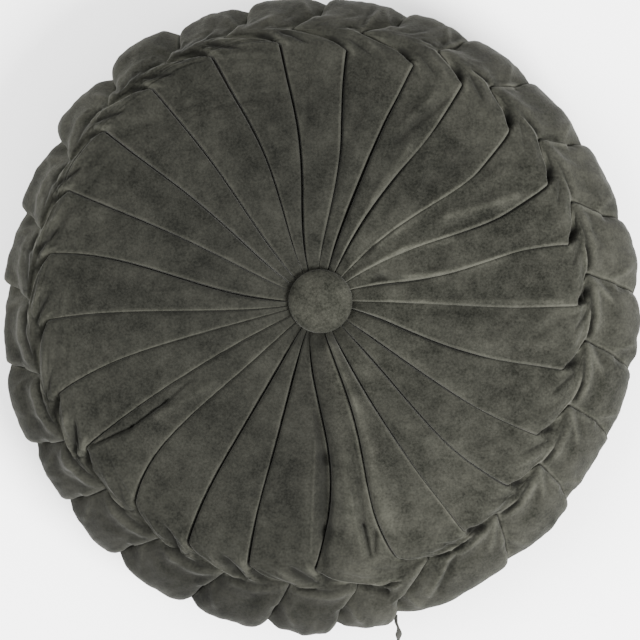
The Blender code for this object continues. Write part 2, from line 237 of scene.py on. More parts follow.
# Soft folds and pits of the face: one row for each stretch, from an angle in degrees and a distance
# from the button in mm to another. The width is half a fold's width and the height stands up, or
# sinks where it is negative, both in mm.
Crease = namedtuple("Crease", "from_angle from_radius to_angle to_radius width height")
CREASES = [
    Crease(29.5, 113, 27.0, 74, 3.0, 1.1),
    Crease(27.0, 74, 24.0, 30, 2.2, 1.0),
    Crease(31.5, 150, 25.0, 112, 2.6, -1.3),
    Crease(28.5, 148, 24.0, 118, 3.0, 0.8),
    Crease(50.0, 113, 47.0, 66, 3.0, 1.3),
    Crease(47.0, 66, 40.0, 30, 2.2, 1.2),
    Crease(43.5, 47, 42.0, 38, 2.6, -2.4),
    Crease(46.0, 140, 42.0, 100, 5.0, -0.9),
    Crease(55.0, 142, 53.5, 120, 5.0, 0.9),
    Crease(61.5, 138, 55.5, 94, 3.6, 1.5),
    Crease(63.0, 120, 59.0, 90, 2.6, -1.0),
    Crease(63.5, 90, 57.0, 62, 3.0, 1.3),
    Crease(57.0, 62, 51.5, 28, 2.2, 1.2),
    Crease(76.5, 118, 76.5, 75, 3.0, 1.2),
    Crease(76.5, 75, 70.0, 44, 2.4, 1.4),
    Crease(73.0, 50, 66.5, 36, 2.6, -3.0),
    Crease(90.0, 150, 90.2, 60, 2.6, 1.1),
    Crease(93.0, 110, 94.0, 70, 4.0, -0.8),
    Crease(101.0, 140, 105.0, 100, 4.0, 0.7),
    Crease(123.0, 105, 123.0, 60, 3.4, 0.7),
    Crease(141.0, 120, 146.0, 95, 6.0, 0.6),
    Crease(163.0, 146, 161.5, 70, 5.5, 1.3),
    Crease(161.5, 70, 168.5, 30, 3.0, 1.2),
    Crease(169.2, 144, 169.0, 164, 1.1, -2.6),
    Crease(168.0, 116, 169.2, 144, 1.6, -1.2),
    Crease(166.8, 80, 168.0, 116, 1.8, -0.8),
    Crease(170.8, 162, 171.2, 120, 1.6, 0.9),
    Crease(173.0, 150, 171.5, 100, 3.5, 0.9),
    Crease(178.8, 146, 178.4, 98, 3.8, -3.0),
    Crease(179.6, 164, 178.8, 144, 2.6, -2.6),
    Crease(178.8, 100, 182.0, 70, 2.6, -2.0),
    Crease(182.2, 158, 182.0, 88, 1.2, 0.9),
    Crease(166.6, 150.0, 167.8, 162.0, 1.3, -2.4),
    Crease(167.2, 187.5, 173.5, 181.0, 1.6, -4.0),
    Crease(165.5, 184.0, 170.5, 178.0, 1.4, 1.2),
    Crease(152.5, 177.0, 155.5, 185.0, 1.6, 1.2),
    Crease(155.5, 185.0, 160.0, 197.0, 1.8, 1.3),
    Crease(152.0, 181.0, 157.8, 197.0, 1.8, -1.3),
    Crease(183.5, 140, 184.0, 100, 5.0, 0.8),
    Crease(234.5, 124, 232.0, 84, 2.8, 1.0),
    Crease(234.0, 150, 234.8, 122, 3.4, 0.5),
    Crease(237.4, 170, 236.0, 142, 0.9, -2.4),
    Crease(236.0, 142, 236.6, 116, 0.9, -2.2),
    Crease(236.6, 116, 238.5, 98, 1.2, -0.9),
    Crease(300.0, 150, 298.0, 120, 6.0, 0.5),
    Crease(356.0, 128, 355.0, 108, 2.0, -0.7),
]
# Lines of each pleat's plait: one row for each, on a curve through three points. Each point is
# degrees clockwise and mm outwards from an anchor: the pleat's corner, its rim (the fold between
# its corner and its base), its base (where it leaves the plait), its petal (from its base to the
# next) or its notch in the outline. The strength is the column of PLAITS that counts, "lip" for the
# pleat's lip, or "soft" for the more the less crisp its petal is. The width is half a line's width
# in mm, the height stands up or sinks by that many mm where the strength is 1, and the painted
# shading is the painted shade along it, a painted highlight where it is negative.
Strand = namedtuple(
    "Strand",
    "anchor strength from_turn from_out mid_turn mid_out to_turn to_out width height dark",
)
STRANDS = [
    Strand("rim", "eye", 0.1, 0.2, -2.4, 3.2, -4.8, 2.0, 1.35, -2.5, 1.3),
    Strand("corner", "tuck", -0.8, 9.5, 1.8, 5.6, 7.0, -2.0, 1.15, -2.2, 0.9),
    Strand("corner", "tuck", -3.8, 7.2, 1.0, 6.5, 2.2, -5.0, 1.5, 0.9, -0.9),
    Strand("corner", "tuck", 0.6, 11.2, 4.0, 8.0, 9.5, 0.0, 1.6, 0.8, -0.6),
    Strand("corner", "strand", -1.6, 3.6, -1.4, 8.5, 2.0, 9.6, 0.8, -1.0, 0.6),
    Strand("base", "slit", -0.1, 2.2, -3.0, 3.8, -6.5, 2.2, 0.75, -2.1, 1.0),
    Strand("base", "slit", 0.0, 0.2, -3.5, 1.8, -7.0, 0.4, 1.2, 0.7, -1.0),
    Strand("base", "soft", 0.3, 1.0, 3.0, 8.0, 6.5, 18.0, 1.7, 1.3, -0.7),
    Strand("base", "soft", -0.6, 3.5, 1.2, 9.0, 4.6, 18.0, 1.8, -1.2, 0.3),
    Strand("petal", "strand", 0.5, 1.0, 6.5, 9.0, 15.5, 5.0, 2.1, 1.5, -0.5),
    Strand("petal", "strand", 1.5, -1.0, 8.2, 5.4, 15.0, 1.6, 0.8, -1.1, 0.7),
    Strand("petal", "strand", 2.5, 6.0, 8.0, 17.5, 15.0, 10.5, 3.0, -1.0, 0.15),
    Strand("notch", "lip", -4.0, 0.0, -2.0, -8.0, -0.8, -16.0, 2.0, 1.2, -0.3),
    Strand("notch", "lip", 0.8, -4.0, 0.5, -8.0, 0.2, -13.0, 2.2, -2.0, 0.35),
]
LINE_SPOTS = 9  # along each line
LINE_SPAN = 14.0  # degrees on either side of a line's middle that it is drawn in
SOFT = 1.4  # strength of a soft line where a petal is not crisp at all
BASE_RUN, BASE_PAST = 7.5, 1.5  # degrees that the lines at a base are drawn for, and go past it

# The fine gathers that fan out of the plait: how many ridges cross a panel, and their share of the
# gathers' height.
Gather = namedtuple("Gather", "count share")
GATHERS = [Gather(3.1, 0.7), Gather(5.3, 0.4)]

# The outline of a covered button from its top to its foot, in mm.
Spot = namedtuple("Spot", "radius height")
BUTTON_OUTLINE = [
    Spot(0.0, 11.5),
    Spot(3.2, 11.4),
    Spot(6.5, 11.0),
    Spot(9.5, 10.4),
    Spot(12.2, 9.6),
    Spot(14.6, 8.6),
    Spot(16.8, 7.3),
    Spot(18.5, 6.0),
    Spot(19.6, 4.7),
    Spot(20.0, 3.6),
    Spot(19.7, 2.6),
    Spot(18.8, 1.7),
    Spot(16.6, 0.8),
    Spot(12.5, 0.0),
    Spot(0.0, 0.0),
]
PUCKERS = 26
PUCKER_HEIGHT = 0.22  # mm
PUCKER_REACH = 60.0  # a pucker widens the button by its height over this, as a share
BUTTON_SOFTNESS = 0.35  # mm that the velvet rises and sinks over the button
BUTTON_LIGHTNESS = 1.48

# The course of the pull tab from the cover to its free end: how far along it is, how far it swings
# aside and up, its width and thickness, all in mm, and how far it is twisted in degrees.
Tape = namedtuple("Tape", "along side rise width thick turn")
TAB_COURSE = [
    Tape(0.0, -6.0, 0.0, 2.6, 1.2, 20),
    Tape(0.3, -5.8, 0.4, 2.4, 1.2, 30),
    Tape(0.46, -4.6, 0.8, 2.2, 1.2, 50),
    Tape(0.6, -4.0, 0.9, 3.4, 1.3, 22),
    Tape(0.74, -4.2, 0.5, 4.6, 1.3, -12),
    Tape(0.88, -4.4, 0.0, 2.8, 1.2, -30),
    Tape(1.0, -4.5, -0.3, 1.7, 1.0, -40),
]
TAB_CUTS = 14

# Painted light and shade round the cushion, lighter on the right and darker on the left as the
# light fell on the pile that turns with the pleats: degrees and lightness against the mean. The
# strip's seam lies in the hollow beside the flap.
PaintedLight = namedtuple("PaintedLight", "angle lightness")
PAINTED_LIGHT_ROUND = [
    PaintedLight(0, 0.76),
    PaintedLight(30, 0.9),
    PaintedLight(60, 1.14),
    PaintedLight(100, 1.1),
    PaintedLight(150, 1.08),
    PaintedLight(170, 1.1),
    PaintedLight(177, 0.76),
    PaintedLight(200, 0.72),
    PaintedLight(230, 0.78),
    PaintedLight(280, 0.77),
    PaintedLight(340, 0.74),
    PaintedLight(360, 0.76),
]
# The same painted light from the button outwards, in mm, the painted light that the side band
# adds on the side at an angle, and the painted light and shade on the slopes round the button,
# lighter on the side at its angle and darker across from it.
PaintedLightRing = namedtuple("PaintedLightRing", "radius lightness")
PAINTED_LIGHT_RINGS = [
    PaintedLightRing(20, 1.2),
    PaintedLightRing(40, 1.1),
    PaintedLightRing(75, 0.93),
    PaintedLightRing(120, 0.98),
    PaintedLightRing(160, 1.14),
    PaintedLightRing(190, 1.16),
]
BAND_PAINTED_LIGHT = [PaintedLight(300, 0.6), PaintedLight(205, -0.3)]
HUB_PAINTED_LIGHT = PaintedLight(100, 0.12)
HIGHLIGHT_LIGHTNESS = 0.5  # painted highlight: what the full attribute pile adds to the painted lightness

# The velvet's clouds: each one's scale, detail and roughness as noise, and how far it counts.
Cloud = namedtuple("Cloud", "scale detail roughness weight")
CLOUDS = [
    Cloud(85.0, 4.0, 0.65, 1.3),
    Cloud(20.0, 2.0, 0.5, 0.9),
    Cloud(650.0, 3.0, 0.75, 1.5),
]
CLOUD_START = -1.35
PAINTED_LIGHT_WEIGHT = 0.3  # how far the painted highlight and shade of the attribute pile count beside the clouds

# The lamps, in metres and watts, and the camera's view: its width at the rim, in metres, and its
# middle against that of the cushion, in mm.
Lamp = namedtuple("Lamp", "name x y z size power")
LAMPS = [
    Lamp("key", 1.4, -1.3, 1.9, 1.2, 330.0),
    Lamp("fill", -1.6, 0.4, 2.4, 2.4, 170.0),
]
SKY = 1.8
VIEW_WIDTH = 0.4026
VIEW_NORTH = 0.7


def mix(start, end, share):
    """What lies at a share of the way from the start to the end."""
    return start + (end - start) * share


def smooth(share):
    """A share from 0 to 1 eased at both ends."""
    share = np.clip(share, 0.0, 1.0)
    return share * share * (3 - 2 * share)


def earlier(values):
    """The values of the pleat before each one."""
    return np.roll(values, 1, axis=0)


def pleat_column(name, table=PLEATS):
    """A column of a table of the pleats, with a row for each of them."""
    return np.array([getattr(row, name) for row in table])[:, None]


def ring_value(column, place):
    """A column of RINGS at places between its rows, on a curve through them all."""
    values = np.array([getattr(ring, column) for ring in RINGS])
    last = len(values) - 1
    low = np.clip(np.floor(place).astype(int), 0, last - 1)
    share = place - low
    before = values[np.maximum(low - 1, 0)]
    start = values[low]
    end = values[low + 1]
    after = values[np.minimum(low + 2, last)]
    return 0.5 * (
        2 * start
        + (end - before) * share
        + (2 * before - 5 * start + 4 * end - after) * share**2
        + (3 * start - before - 3 * end + after) * share**3
    )


def mesh_places():
    """The place along RINGS of every mesh row."""
    places = []
    for index, ring in enumerate(RINGS[:-1]):
        places += [index + row / ring.rows for row in range(ring.rows)]
    return np.array(places + [len(RINGS) - 1.0])


def front_place(places):
    """The place on the front that lies over each place, the same one on the front itself."""
    return np.minimum(places, 2 * RIM - places)


def middle_share(spread):
    """1 in the middle of a panel and 0 at its edges."""
    return 4 * spread * (1 - spread)


def panel_fold_angle(pleat, radius):
    """The angles of a fold on the face, on one smooth course from its button to its corner."""
    radii = (RINGS[RING_AT["front hub"]].radius, 50.0, 105.0, RINGS[CORNER].radius)
    angles = (pleat.hub, pleat.inner, pleat.middle, pleat.corner)
    radius = np.maximum(radius, radii[0])
    course = 0.0
    for own, angle in zip(radii, angles):
        part = angle
        for other in radii:
            if other != own:
                part = part * (radius - other) / (own - other)
        course = course + part
    return course


def fold_angles(places):
    """The angle of every fold in degrees, a row for each fold and a column for each place."""
    front = front_place(places)
    face_radius = ring_value("radius", np.minimum(front, CORNER))
    out = np.clip(front - CORNER, 0, 1)
    up = np.clip(front - PLAIT, 0, 1)
    over = np.clip(front - NOTCH, 0, 1)
    rows = []
    for pleat in PLEATS:
        face = panel_fold_angle(pleat, face_radius)
        plait = mix(pleat.corner, pleat.base, out**PLAIT_CURVE)
        band = mix(pleat.base, pleat.notch, up) + PETAL_LEAN * over
        rows.append(np.where(front <= CORNER, face, np.where(front <= PLAIT, plait, band)))
    return np.array(rows)


def gap_widths(places):
    """The width in mm of the gap beside each fold, a row for each fold."""
    radius = ring_value("radius", np.minimum(places, CORNER))
    radii = [RINGS[RING_AT[name]].radius for name in ("front floor", "front slope", "front crown")]
    radii += [HALFWAY, RINGS[CORNER].radius]
    rows = []
    for pleat in PLEATS:
        widths = [0.3 * pleat.gap_in, pleat.gap_in, mix(pleat.gap_in, pleat.gap_mid, 0.4)]
        widths += [pleat.gap_mid, pleat.gap_out]
        spot = np.interp(radius, radii, range(len(radii)))
        low = np.minimum(np.floor(spot).astype(int), len(radii) - 2)
        widths = np.array(widths)
        face = FACE_GAP * mix(widths[low], widths[low + 1], smooth(spot - low))
        plait = mix(face, PLAIT_GAP, np.clip(places - CORNER, 0, 1))
        band = np.where(places > PLAIT, BAND_GAP, plait)
        rows.append(np.where(places > RIM, BACK_GAP, np.where(places > CORNER, band, face)))
    return np.array(rows)


# ---------------------------------------------------------------- settings


def colour(name, description, value):
    """The setting of a colour."""
    return bpy.props.FloatVectorProperty(
        name=name, description=description, subtype="COLOR", default=value
    )


class CushionShape(bpy.types.PropertyGroup):
    relief: bpy.props.FloatProperty(
        name="Fold relief", description="Height of the folds against their real height", default=1.0
    )
    drag: bpy.props.FloatProperty(
        name="Drag folds",
        description="Height of the soft slanted folds across each panel",
        default=0.0016,
        unit="LENGTH",
    )
    wrinkle: bpy.props.FloatProperty(
        name="Wrinkles",
        description="Height of the fine wrinkles in the side band",
        default=0.0008,
        unit="LENGTH",
    )


class CushionCloth(bpy.types.PropertyGroup):
    # The pile and raised colours are the ends of the velvet's clouds, and also of the painted shade
    # and painted highlight that the attribute pile adds.
    pile: colour(
        "Pile", "Colour of the velvet where its pile lies down", (0.0026, 0.0028, 0.0018)
    )
    raised: colour(
        "Raised pile", "Colour of the velvet where its pile stands up", (0.019, 0.019, 0.015)
    )
    # The gap colour is painted shade, put deep between two folds.
    gap: colour("Gaps", "Colour of the velvet deep between two folds", (0.0062, 0.0062, 0.005))
    tape: colour("Tape", "Colour of the pull tab", (0.008, 0.008, 0.006))
    sheen: bpy.props.FloatProperty(
        name="Sheen", description="Brightness of the pile seen at a low angle", default=0.06
    )


class CushionStudio(bpy.types.PropertyGroup):
    floor: colour("Floor", "Colour of the floor", (0.95, 0.95, 0.95))
    distance: bpy.props.FloatProperty(
        name="Camera height",
        description="Height of the camera over the cushion",
        default=6.0,
        unit="LENGTH",
    )


# ---------------------------------------------------------------- surface


def button_axis():
    """The front button's axis in mm, set over the folds' meeting point."""
    low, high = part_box("front_button")
    return (low.x + high.x) / 2 / MM + AXIS_EAST, (low.y + high.y) / 2 / MM + AXIS_NORTH


def mean_point(way, place):
    """The cover's mean surface: distance from the axis and height, in mm."""
    shift = ring_value("shift_x", place) * np.sin(way) + ring_value("shift_y", place) * np.cos(way)
    return ring_value("radius", place) + shift, ring_value("height", place)


def fold_reach(places):
    """How far each fold stands out from its ring at its corner and in the plait, in mm, at each
    place."""
    at_corner = smooth(1 - np.abs(places - CORNER))
    at_plait = smooth(1 - np.abs(places - PLAIT) / 0.95)
    rows = []
    for pleat in PLEATS:
        reach = pleat.reach + CORNER_OUT - even_radius(RINGS[CORNER], pleat.corner)
        braid = pleat.braid - even_radius(RINGS[PLAIT], pleat.base)
        rows.append(reach * at_corner + braid * at_plait)
    return np.array(rows)


def even_radius(ring, angle):
    """A ring's distance from the button's axis in mm at an angle in degrees."""
    way = math.radians(angle)
    return ring.radius + ring.shift_x * math.sin(way) + ring.shift_y * math.cos(way)


def edge_section(lip, top, depth, gap, bulk):
    """The section of a panel's edge, from the bottom of the gap to the panel: the distance from
    the fold and the height, in mm, and the painted light, from -1 for painted shade to 1 for a painted
    highlight. The bulk is how much wider the edge is than on the face."""
    out = [np.zeros_like(lip)]
    height = [-depth]
    pile = [np.full_like(lip, -1.0)]
    for row in range(EDGE - 1):
        way = math.radians(LIP_TURN[row])
        lip_out = gap + bulk * LIP_WIDTH * (1 - math.cos(way)) - LIP_OVERHANG
        lip_height = top - LIP_HEIGHT * (1 - math.sin(way))
        out.append(mix(START_OUT[row] * bulk, lip_out, lip))
        height.append(mix(-depth * START_DEPTH[row], lip_height, lip))
        pile.append(mix(START_PAINTED_LIGHT[row], LIP_PAINTED_LIGHT[row], lip))
    return np.array(out), np.array(height), np.array(pile)


def face_share(places):
    """1 on the face and 0 from the plait on."""
    return smooth((CORNER + 0.2 - places) / 1.2)


def band_share(front):
    """0 on the face and in the plait, and 1 in the side band."""
    return smooth((front - PLAIT - 0.1) / 0.4)


def crispness(front):
    """How sharp each fold's edge is: 1 on the face, and as its petal's in the side band."""
    return mix(1.0, pleat_column("crisp", PLAITS), band_share(front))


def openness(gap):
    """How far a gap of that width in mm shows as open, from 0 to 1."""
    return smooth((gap - CLOSED) / OPENING)


def panel_edges(settings, places, angles, before, pitch):
    """The columns of each panel's start and of its end: for each edge, their shares of the way
    across the panel, their heights, and their painted highlight and shade."""
    front = front_place(places)
    radius = ring_value("radius", places)
    run = np.hypot(np.gradient(radius), np.gradient(ring_value("height", places)))

    def straight(lines):
        """The share of a fold's course that runs straight out from the middle."""
        around = np.radians(np.gradient(lines, axis=1)) * radius
        return np.clip(run / np.hypot(run, around), 0.25, 1.0)

    crisp = crispness(front)
    gap = gap_widths(places)
    top = ring_value("relief", places) * settings.relief * pleat_column("lip") * (0.4 + 0.6 * crisp)
    depth = ring_value("depth", places) * (0.12 + 0.75 * openness(gap) + 0.15 * gap) * crisp
    is_start = smooth((front - PLAIT + 0.05) / 0.15) + 0 * top
    end_bulk = 1 + 0.8 * smooth((front - PLAIT + 0.1) / 0.3)
    start_bulk = end_bulk + 1.2 * smooth(1 - np.abs(front - PLAIT) / 0.4)
    end_out, end_height, end_painted_light = edge_section(1 - is_start, top, depth, gap, end_bulk)
    start_out, start_height, start_painted_light = edge_section(
        is_start, earlier(top), earlier(depth), earlier(gap), start_bulk
    )
    narrow = pitch * np.minimum(straight(angles), straight(before)) / NARROW
    narrow = np.clip(narrow, 0.15, 1.0)
    end_share = 1 - end_out * narrow / (pitch * straight(angles))
    start_share = start_out * narrow / (pitch * straight(before))
    return (start_share, start_height, start_painted_light), (end_share, end_height, end_painted_light)


def across_panel(start, end):
    """The values of all columns of each panel: those of its start, its body evenly between them,
    and those of its end."""
    body = [mix(start[-1], end[-1], (column + 1) / (BODY + 1)) for column in range(BODY)]
    return np.stack([*start, *body, *end[:0:-1]], axis=1)


def panel_painted_light(pile, spread, places, angles):
    """The painted light of the attribute pile: less painted shade beside closed and soft folds, a
    stronger painted highlight on the rims and on the folds that catch the light, and darker in the
    middle of each panel."""
    front = front_place(places)
    band = band_share(front)
    hard_end = mix(1.0, 0.55 * crispness(front), band) * (0.3 + 0.7 * openness(gap_widths(places)))
    hard = np.where(spread < 0.5, earlier(hard_end)[:, None], hard_end[:, None])
    pile = np.where(pile < 0, pile * hard, pile)
    on_rim = smooth((front - CORNER - 0.1) / 0.2) * smooth((PLAIT + 0.1 - front) / 0.2)
    pile = pile + RIM_HIGHLIGHT * on_rim * smooth((pile - 0.1) / 0.4)
    turn = angles % 360
    shine = smooth((turn - SHINE_FROM) / SHINE_RISE) * smooth((SHINE_END - turn) / SHINE_FALL)
    start_gain, end_gain = mix(*START_HIGHLIGHT_GAIN, earlier(shine)), mix(*LIP_HIGHLIGHT_GAIN, shine)
    gain = np.where(spread < 0.5, start_gain[:, None], end_gain[:, None])
    pile = np.where(pile > 0, pile * mix(1.0, gain, smooth((CORNER + 0.1 - front) / 0.2)), pile)
    tone_and_painted_light = middle_share(spread) * face_share(places) * smooth((places - 2) / 1.5)
    return pile + PANEL_MIDDLE_DARKENING * tone_and_painted_light


def cover_grid(settings):
    """The section of the cover by panel, column and row: the share of the way to the next fold,
    the height over the mean surface, the angle, the reach, and the painted highlight and shade."""
    places = mesh_places()
    front = front_place(places)
    angles = fold_angles(places)
    before = earlier(angles)
    before[0] -= 360.0
    pitch = np.radians(angles - before) * ring_value("radius", places)
    starts, ends = panel_edges(settings, places, angles, before, pitch)
    share, lift, pile = (across_panel(start, end) for start, end in zip(starts, ends))
    spread = np.clip(share, 0, 1)
    middle = middle_share(spread)
    sink = pleat_column("sink")[:, None] * face_share(places)
    lift += middle * (ring_value("puff", places) - sink)
    along_band = smooth((front - PLAIT) / 1.6)
    before_edge = (1 - spread) * pitch[:, None] / mix(*DIP_REACH, along_band)
    dip = mix(*DIP, pleat_column("crisp", PLAITS))[:, None]
    lift -= dip * band_share(front) * np.exp(-(before_edge**2))
    turn = mix(before[:, None], angles[:, None], share)
    reach_end = fold_reach(places)
    reach = mix(earlier(reach_end)[:, None], reach_end[:, None], spread)
    bulge = pleat_column("bulge")[:, None] * along_band
    reach = reach + bulge * np.clip(middle * 1.6, 0, 1) ** 0.7
    return places, spread, lift, turn, reach, panel_painted_light(pile, spread, places, angles)


def gathers(places, spread):
    """The height of the fine gathers that fan out of the plait, by panel, column and row."""
    height = np.zeros(spread.shape)
    strength = ring_value("gather", places)
    for index in range(COUNT):
        for ridge, row in enumerate(GATHERS):
            start = noise.noise(Vector((index * 3.7, ridge * 9.1, 0.5)))
            sway = 0.35 * math.sin(index * 1.7 + ridge)
            phase = row.count * (spread[index] + sway * (places - PLAIT) * 0.4) + 2.5 * start
            fold = np.abs(np.cos(math.pi * phase)) - 0.6
            height[index] += fold * strength * row.share
    return height * np.clip(4 * spread * (1.08 - spread), 0, 1)


def strand_course(row, index):
    """The spots along a line of one pleat, as angles in degrees and distances in mm."""
    pleat, after, ahead = PLEATS[index], PLEATS[(index + 1) % COUNT], PLEATS[index - 1]
    back = (pleat.corner - pleat.base) % 360
    step = (after.base - pleat.base) % 360
    run = (pleat.base - ahead.corner) % 360
    spots = []
    for part in np.linspace(0, 1, LINE_SPOTS):
        start, middle, end = (1 - part) ** 2, 2 * part * (1 - part), part**2
        turn = start * row.from_turn + middle * row.mid_turn + end * row.to_turn
        out = start * row.from_out + middle * row.mid_out + end * row.to_out
        if row.anchor == "corner":
            angle, distance = pleat.corner + turn, pleat.reach
        elif row.anchor == "rim":
            along = min(max(-turn, 0) / back, 1.0) ** (1 / PLAIT_CURVE)
            angle, distance = pleat.corner + turn, mix(pleat.reach, pleat.braid, along)
        elif row.anchor == "base":
            angle, distance = pleat.base + turn * (run + BASE_PAST) / BASE_RUN, pleat.braid
        elif row.anchor == "petal":
            rise = (after.braid - pleat.braid) * turn / STEP
            angle, distance = pleat.base + turn * step / STEP, pleat.braid + rise
        else:
            angle, distance = pleat.notch + turn, even_radius(RINGS[RIM], pleat.notch)
        spots.append((angle, distance + out))
    return spots


def strand_strength(row, index):
    """How strong a line of the table STRANDS is in one pleat."""
    if row.strength == "soft":
        return SOFT * (1 - PLAITS[index].crisp)
    return PLEATS[index].lip if row.strength == "lip" else getattr(PLAITS[index], row.strength)


def beside_stretch(x, y, start, end):
    """The squared distance of points from a straight stretch, and how far along it they lie."""
    span_x, span_y = end[0] - start[0], end[1] - start[1]
    along = ((x - start[0]) * span_x + (y - start[1]) * span_y) / (span_x**2 + span_y**2)
    along = np.clip(along, 0, 1)
    return (x - start[0] - span_x * along) ** 2 + (y - start[1] - span_y * along) ** 2, along


def strand_marks(way, radius):
    """The height in mm of the lines of the table STRANDS at each angle in radians and distance in
    mm, and the painted shade and painted highlight that they lay on the pile."""
    height = np.zeros(way.shape)
    dark = np.zeros(way.shape)
    light = np.zeros(way.shape)
    turn = np.degrees(way)
    for index in range(COUNT):
        for row in STRANDS:
            strength = strand_strength(row, index)
            spots = strand_course(row, index)
            middle = spots[LINE_SPOTS // 2][0]
            off = (turn - middle + 180) % 360 - 180
            near = np.abs(off) < LINE_SPAN
            x, y = np.radians(off[near]) * radius[near], radius[near]
            flat = [(math.radians(angle - middle) * distance, distance) for angle, distance in spots]
            nearest = np.full(x.shape, 1e9)
            along = np.zeros(x.shape)
            for number, (start, end) in enumerate(zip(flat[:-1], flat[1:])):
                gap, part = beside_stretch(x, y, start, end)
                closer = gap < nearest
                nearest = np.where(closer, gap, nearest)
                along = np.where(closer, (number + part) / (LINE_SPOTS - 1), along)
            taper = smooth(3.5 * along) * smooth(3.5 * (1 - along))
            width = row.width * (0.4 + 0.6 * taper) * (0.7 + 0.3 * min(strength, 2.5))
            fade = np.exp(-nearest / width**2) * taper
            height[near] += row.height * strength * fade
            mark = row.dark * min(strength, 1.0) * fade
            dark[near] = np.maximum(dark[near], mark)
            light[near] = np.maximum(light[near], -mark)
    return height, dark - light * (1 - dark)


def cloth_noise(points, seed):
    """Smooth noise from -1 to 1 at each point."""
    shift = Vector((seed * 17.3, seed * 5.1, seed * 11.7))
    values = [noise.noise(Vector(point) + shift) for point in points.reshape(-1, 3)]
    return np.array(values).reshape(points.shape[:-1])


def drag_folds(places, turn, radius, settings):
    """The height of the soft folds that slant across each panel from its corner."""
    around = np.radians(turn) * radius
    index = np.arange(COUNT)[:, None, None] * 7.31 + 0 * turn
    long = np.stack([(around - 0.42 * radius) / 11.0, radius / 58.0, index], axis=-1)
    fold = cloth_noise(long, 4)
    small = np.stack([(around - 0.3 * radius) / 4.5, radius / 26.0, index], axis=-1)
    fold += 0.35 * cloth_noise(small, 5)
    inner = smooth((radius - 26.0) / 40.0)
    return fold * settings.drag / MM * inner * smooth((PLAIT + 0.3 - places) / 0.8)


def band_wrinkles(places, spread, turn, settings):
    """The height of the wrinkles that run across the side band, by panel, column and row."""
    index = np.arange(COUNT)[:, None, None] * 5.13 + 0 * turn
    course = 0 * turn + places
    wide = np.stack([spread * 4.2, course * 1.1, index], axis=-1)
    fine = np.stack([spread * 10.0, course * 2.4, index], axis=-1)
    fold = 1.6 * cloth_noise(wide, 6) + 0.6 * cloth_noise(fine, 7)
    return fold * settings.wrinkle / MM * smooth((places - CORNER - 0.5) / 0.8)


def crease_height(way, radius):
    """The height of the single folds and pits at each angle and distance."""
    east = radius * np.sin(way)
    north = radius * np.cos(way)
    height = np.zeros(way.shape)
    for row in CREASES:
        start, end = math.radians(row.from_angle), math.radians(row.to_angle)
        gap, _along = beside_stretch(
            east,
            north,
            (row.from_radius * math.sin(start), row.from_radius * math.cos(start)),
            (row.to_radius * math.sin(end), row.to_radius * math.cos(end)),
        )
        height += row.height * np.exp(-gap / row.width**2)
    return height


def cover_points(settings):
    """The cover's points in metres by panel, column and row, and the painted highlight and shade
    there.
    """
    places, spread, lift, turn, reach, pile = cover_grid(settings)
    way = np.radians(turn)
    place = np.broadcast_to(places, way.shape)
    radius, height = mean_point(way, place)
    step = 0.02
    inner_radius, inner_height = mean_point(way, np.maximum(place - step, 0))
    outer_radius, outer_height = mean_point(way, np.minimum(place + step, len(RINGS) - 1))
    along_radius = outer_radius - inner_radius
    along_height = outer_height - inner_height
    length = np.hypot(along_radius, along_height)
    out_radius = -along_height / length
    out_height = along_radius / length

    edge = middle_share(spread) ** 0.5
    lift += gathers(places, spread) + band_wrinkles(places, spread, turn, settings) * edge
    lift += drag_folds(places, turn, radius, settings) * (0.3 + 0.7 * edge)
    front = places < MARKS_END
    at_rim = np.argmax(places >= RIM)
    distance = (radius + reach)[:, :, front]
    distance[:, :, at_rim:] = distance[:, :, at_rim : at_rim + 1]
    marks, dark = strand_marks(way[:, :, front], distance)
    creases = CREASE_RELIEF * crease_height(way[:, :, front], distance)
    fade = smooth((MARKS_END - places[front]) / MARKS_FADE)
    lift[:, :, front] += (marks + creases) * fade
    # Painted highlight on the ridges of creases, painted shade in their hollows and along the lines.
    tone_and_painted_light = np.where(creases > 0, RIDGE_HIGHLIGHT, HOLLOW_SHADE) * creases - LINE_SHADE * dark
    pile[:, :, front] = np.clip(pile[:, :, front] + tone_and_painted_light * fade, -1, MOST_HIGHLIGHT)

    radius = radius + reach + out_radius * lift
    height = height + out_height * lift
    axis_x, axis_y = button_axis()
    points = np.stack(
        [
            axis_x + radius * np.sin(way),
            axis_y + radius * np.cos(way) * SQUASH,
            np.maximum(height, 0.0),
        ],
        axis=-1,
    )
    return points * MM, pile


def painted_light_by_place(points):
    """The painted light and shade at each point, as the light fell on the way its pile lies."""
    axis_x, axis_y = button_axis()
    east, north = points[..., 0] / MM - axis_x, points[..., 1] / MM - axis_y
    turn = np.degrees(np.arctan2(east, north)) % 360
    radius = np.hypot(east, north)
    light = np.interp(turn, [row.angle for row in PAINTED_LIGHT_ROUND], [row.lightness for row in PAINTED_LIGHT_ROUND])
    rings = [row.radius for row in PAINTED_LIGHT_RINGS]
    middle = np.interp(radius, rings, [row.lightness for row in PAINTED_LIGHT_RINGS])
    for row in BAND_PAINTED_LIGHT:
        facing = np.clip(np.cos(np.radians(turn - row.angle)), 0, 1) ** 2
        middle = middle + row.lightness * facing * smooth((radius - 165) / 25)
    hub = 1 - smooth((radius - 60) / 30)
    middle = middle + HUB_PAINTED_LIGHT.lightness * np.cos(np.radians(turn - HUB_PAINTED_LIGHT.angle)) * hub
    return 1 + (light * middle - 1) * smooth(radius / 20)


